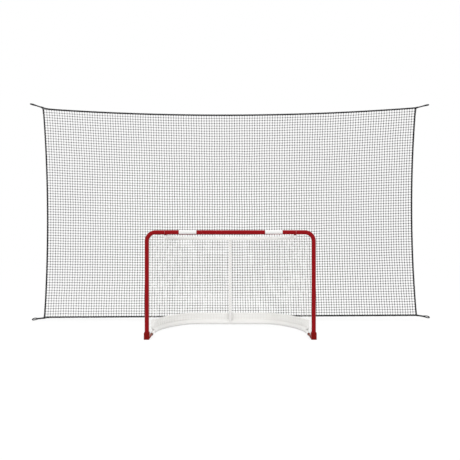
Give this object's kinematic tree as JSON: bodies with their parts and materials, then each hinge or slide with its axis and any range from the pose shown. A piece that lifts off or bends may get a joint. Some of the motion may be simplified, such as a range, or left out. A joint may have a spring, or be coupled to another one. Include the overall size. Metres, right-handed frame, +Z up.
{
  "type": "hockey goal with backstop net",
  "caption": "Tubular steel hockey goal with laced netting, fabric skirt and a roped backstop net hung behind it.",
  "frame": {"origin": "on the floor, in the middle of the footprint of the goal and the backstop", "axes": "+X along the crossbar, +Y from the goal mouth back into the goal and on to the backstop, +Z up"},
  "size_m": [5.397, 1.2424, 2.9467],
  "materials": {
    "red_paint": "glossy red enamel on steel pipe",
    "dark_red_paint": "dark red enamel on forged steel",
    "foot_paint": "red enamel, worn to red-brown on the rod",
    "white_paint": "semi-gloss white enamel on steel pipe",
    "zinc": "bright zinc plate",
    "black_plastic": "moulded black plastic",
    "white_plastic": "moulded white plastic",
    "white_twine": "braided white twine, knotted",
    "skirt_cloth": "coated off-white canvas",
    "black_twine": "braided black twine, knotted",
    "black_rope": "laid black rope"
  },
  "bodies": {
    "goal": {"left_post": "red_paint", "right_post": "red_paint", "crossbar": "red_paint", "left_coupler": "zinc", "right_coupler": "zinc", "left_saddle": "dark_red_paint", "right_saddle": "dark_red_paint", "crossbar_bolts": "zinc", "left_foot": "foot_paint", "right_foot": "foot_paint", "foot_bolts": "zinc", "left_base_pipe": "white_paint", "right_base_pipe": "white_paint", "base_joiner": "zinc", "spigot_bushes": "black_plastic", "left_top_pipe": "white_paint", "right_top_pipe": "white_paint", "top_joiner": "zinc", "top_pipe_plugs": "white_plastic", "centre_post": "white_paint", "upper_bracket": "white_paint", "lower_bracket": "white_paint", "bracket_screws": "zinc", "back_netting": "white_twine", "left_netting": "white_twine", "right_netting": "white_twine", "roof_netting": "white_twine", "back_skirt": "skirt_cloth", "left_skirt": "skirt_cloth", "right_skirt": "skirt_cloth"},
    "backstop": {"backstop_netting": "black_twine", "top_rope": "black_rope", "bottom_rope": "black_rope", "left_rope": "black_rope", "right_rope": "black_rope", "top_left_knot": "black_rope", "top_right_knot": "black_rope", "bottom_left_knot": "black_rope", "bottom_right_knot": "black_rope", "top_left_loop": "black_rope", "top_right_loop": "black_rope", "bottom_left_loop": "black_rope", "bottom_right_loop": "black_rope"}
  },
  "joints": [
    {"name": "backstop_setback", "type": "slide", "parent": "goal", "child": "backstop", "axis": [0, 1, 0], "range_m": [0, 1]}
  ]
}
